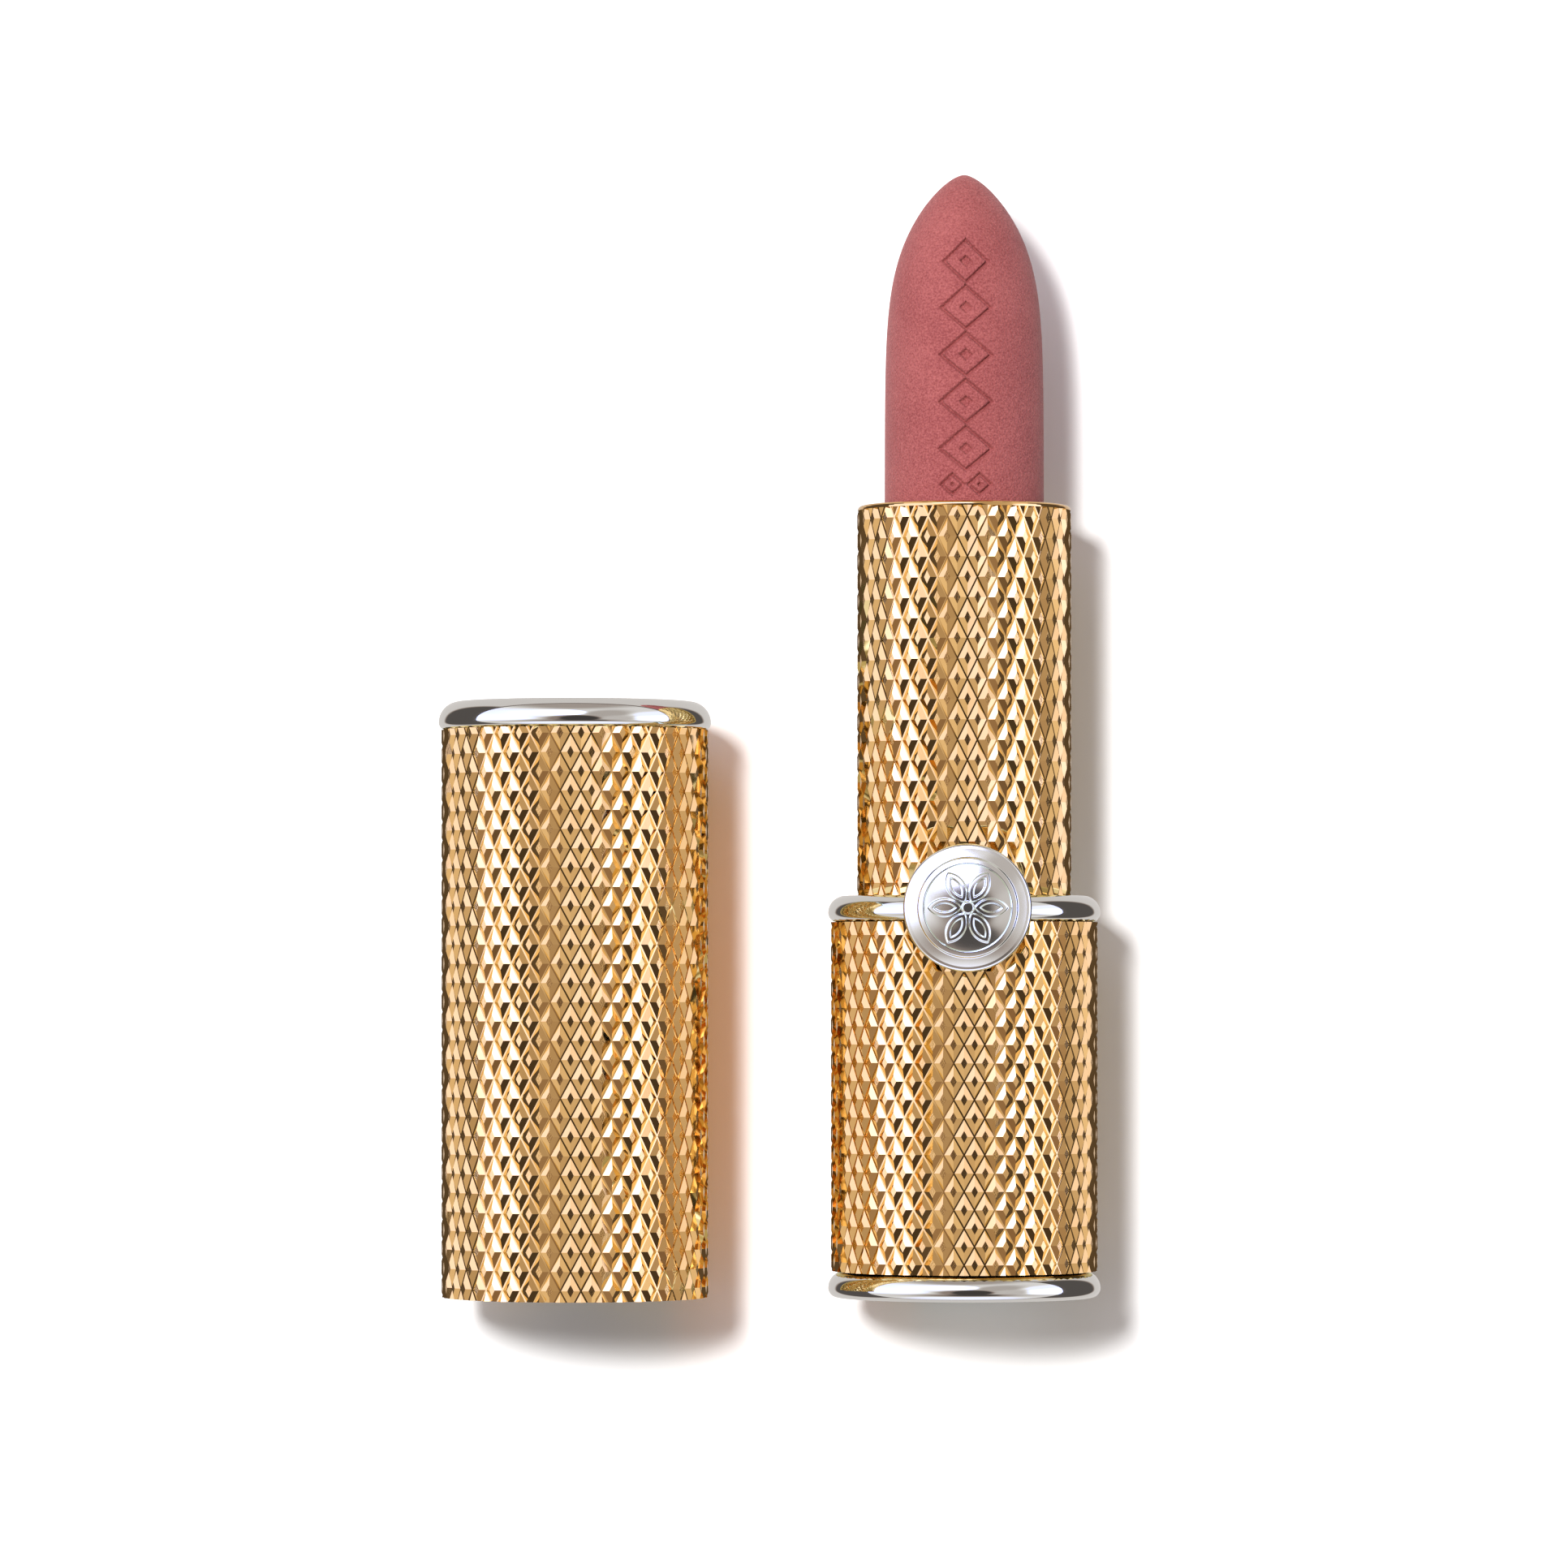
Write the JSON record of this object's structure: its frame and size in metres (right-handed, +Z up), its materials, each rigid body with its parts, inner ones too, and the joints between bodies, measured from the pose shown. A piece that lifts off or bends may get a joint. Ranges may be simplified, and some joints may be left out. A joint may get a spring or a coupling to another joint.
{
  "type": "lipstick case",
  "caption": "Turn-up lipstick case with a diamond-relief metal body, plated collar and badge, wax bullet raised, and its cap laid beside it.",
  "frame": {"origin": "centre of the foot disc's outer face, on the turning axis of the case", "axes": "the case lies on its side: +Y runs along the turning axis from the foot to the tip of the bullet, +Z is up and is the side the medallion faces, and the cap lies beside the case on the -X side with its axis parallel"},
  "size_m": [0.0503, 0.0853, 0.0222],
  "materials": {
    "gold_aluminium": "gold anodised, bright, with a sharp diamond relief",
    "chrome_plate": "mirror-bright chrome plating on zinc alloy",
    "lipstick_wax": "matt dusty-rose wax with a fine powdery grain",
    "black_liner": "satin moulded ABS",
    "ivory_acetal": "natural moulded acetal",
    "gold_cup": "metallised moulding",
    "weight_steel": "turned steel, zinc plated",
    "magnet_nickel": "nickel-plated ring magnet",
    "drag_silicone": "translucent silicone",
    "label_paper": "blank satin label"
  },
  "bodies": {
    "base": {"base_sleeve": "gold_aluminium", "base_liner": "black_liner", "base_weight": "weight_steel", "base_disc": "chrome_plate", "shade_label": "label_paper", "collar_ring": "chrome_plate", "closure_magnet": "magnet_nickel", "medallion": "chrome_plate", "guide_tube": "ivory_acetal", "drag_ring": "drag_silicone"},
    "shell": {"upper_sleeve": "gold_aluminium", "spiral_sleeve": "ivory_acetal"},
    "carrier": {"carrier_cup": "gold_cup", "bullet": "lipstick_wax"},
    "cap": {"cap_sleeve": "gold_aluminium", "cap_liner": "black_liner", "cap_weight": "weight_steel", "cap_disc": "chrome_plate", "catch_ring": "weight_steel"}
  },
  "joints": [
    {"name": "shell_twist", "type": "hinge", "parent": "base", "child": "shell", "pos_m": [0, 0, 0], "axis": [0, 1, 0], "range_deg": [0, 477]},
    {"name": "bullet_rise", "type": "slide", "parent": "base", "child": "carrier", "axis": [0, 1, 0], "range_m": [-0.0265, 0]},
    {"name": "cap_pull", "type": "slide", "parent": "base", "child": "cap", "axis": [0, 1, 0], "range_m": [0, 0.0305]}
  ],
  "couplings": [
    {"joint": "bullet_rise", "follows": "shell_twist", "m_per_rad": -0.0031831}
  ]
}
